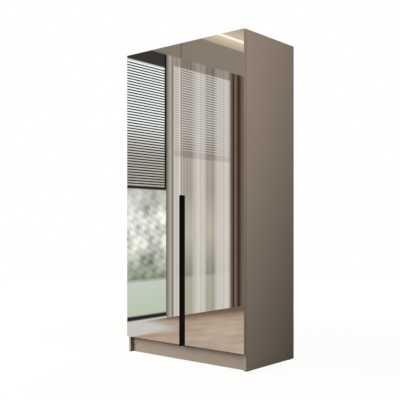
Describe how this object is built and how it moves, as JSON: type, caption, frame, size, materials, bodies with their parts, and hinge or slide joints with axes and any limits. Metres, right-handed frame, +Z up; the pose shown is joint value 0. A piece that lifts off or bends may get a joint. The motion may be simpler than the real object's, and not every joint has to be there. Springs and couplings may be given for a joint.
{
  "type": "two-door mirror wardrobe",
  "caption": "Tall free-standing wardrobe with full-height mirror doors on concealed hinges, a long black edge pull, a set-back plinth, shelves and a clothes rail inside.",
  "frame": {"origin": "on the floor, under the middle of the outer box, pull included", "axes": "+Z up, doors face -Y, +X to the right seen from the front"},
  "size_m": [1.03, 0.585, 2.1],
  "materials": {
    "laminate": "taupe melamine-faced chipboard, satin",
    "mirror": "silvered float glass",
    "handle_black": "black anodised, matte",
    "hinge_steel": "nickel-plated pressed steel",
    "chrome": "chromed steel tube and sockets",
    "back_board": "faced hardboard, matte",
    "plastic": "grey moulded polymer"
  },
  "bodies": {
    "carcass": {"left_side_panel": "laminate", "right_side_panel": "laminate", "top_panel": "laminate", "bottom_panel": "laminate", "centre_partition": "laminate", "plinth_board": "laminate", "rear_plinth_rail": "laminate", "back_panel_left": "back_board", "back_panel_right": "back_board", "back_joint_strip": "plastic", "hat_shelf": "laminate", "shelf_1": "laminate", "shelf_2": "laminate", "shelf_3": "laminate", "shelf_4": "laminate", "clothes_rail": "chrome", "rail_socket_left": "chrome", "rail_socket_right": "chrome", "front_left_glide": "plastic", "front_right_glide": "plastic", "rear_left_glide": "plastic", "rear_right_glide": "plastic", "left_hinge_1_arm": "hinge_steel", "left_hinge_1_plate": "hinge_steel", "left_hinge_2_arm": "hinge_steel", "left_hinge_2_plate": "hinge_steel", "left_hinge_3_arm": "hinge_steel", "left_hinge_3_plate": "hinge_steel", "left_hinge_4_arm": "hinge_steel", "left_hinge_4_plate": "hinge_steel", "right_hinge_1_arm": "hinge_steel", "right_hinge_1_plate": "hinge_steel", "right_hinge_2_arm": "hinge_steel", "right_hinge_2_plate": "hinge_steel", "right_hinge_3_arm": "hinge_steel", "right_hinge_3_plate": "hinge_steel", "right_hinge_4_arm": "hinge_steel", "right_hinge_4_plate": "hinge_steel"},
    "left_door": {"left_door_board": "laminate", "left_door_mirror": "mirror", "left_hinge_1_cup": "hinge_steel", "left_hinge_2_cup": "hinge_steel", "left_hinge_3_cup": "hinge_steel", "left_hinge_4_cup": "hinge_steel"},
    "right_door": {"right_door_board": "laminate", "right_door_mirror": "mirror", "door_handle": "handle_black", "right_hinge_1_cup": "hinge_steel", "right_hinge_2_cup": "hinge_steel", "right_hinge_3_cup": "hinge_steel", "right_hinge_4_cup": "hinge_steel"},
    "left_hinge_links": {"left_hinge_1_link": "hinge_steel", "left_hinge_2_link": "hinge_steel", "left_hinge_3_link": "hinge_steel", "left_hinge_4_link": "hinge_steel"},
    "right_hinge_links": {"right_hinge_1_link": "hinge_steel", "right_hinge_2_link": "hinge_steel", "right_hinge_3_link": "hinge_steel", "right_hinge_4_link": "hinge_steel"}
  },
  "joints": [
    {"name": "left_door_swing", "type": "hinge", "parent": "carcass", "child": "left_door", "pos_m": [-0.5082, -0.25726, 1.105], "axis": [0, 0, -1], "range_deg": [0, 100]},
    {"name": "right_door_swing", "type": "hinge", "parent": "carcass", "child": "right_door", "pos_m": [0.5082, -0.25726, 1.105], "axis": [0, 0, 1], "range_deg": [0, 100]},
    {"name": "left_links_turn", "type": "hinge", "parent": "left_door", "child": "left_hinge_links", "pos_m": [-0.50504, -0.25293, 1.105], "axis": [0, 0, 1], "range_deg": [0, 125]},
    {"name": "right_links_turn", "type": "hinge", "parent": "right_door", "child": "right_hinge_links", "pos_m": [0.50504, -0.25293, 1.105], "axis": [0, 0, -1], "range_deg": [0, 125]}
  ],
  "couplings": [
    {"joint": "left_links_turn", "follows": "left_door_swing", "ratio": 1.2355},
    {"joint": "right_links_turn", "follows": "right_door_swing", "ratio": 1.2355}
  ]
}
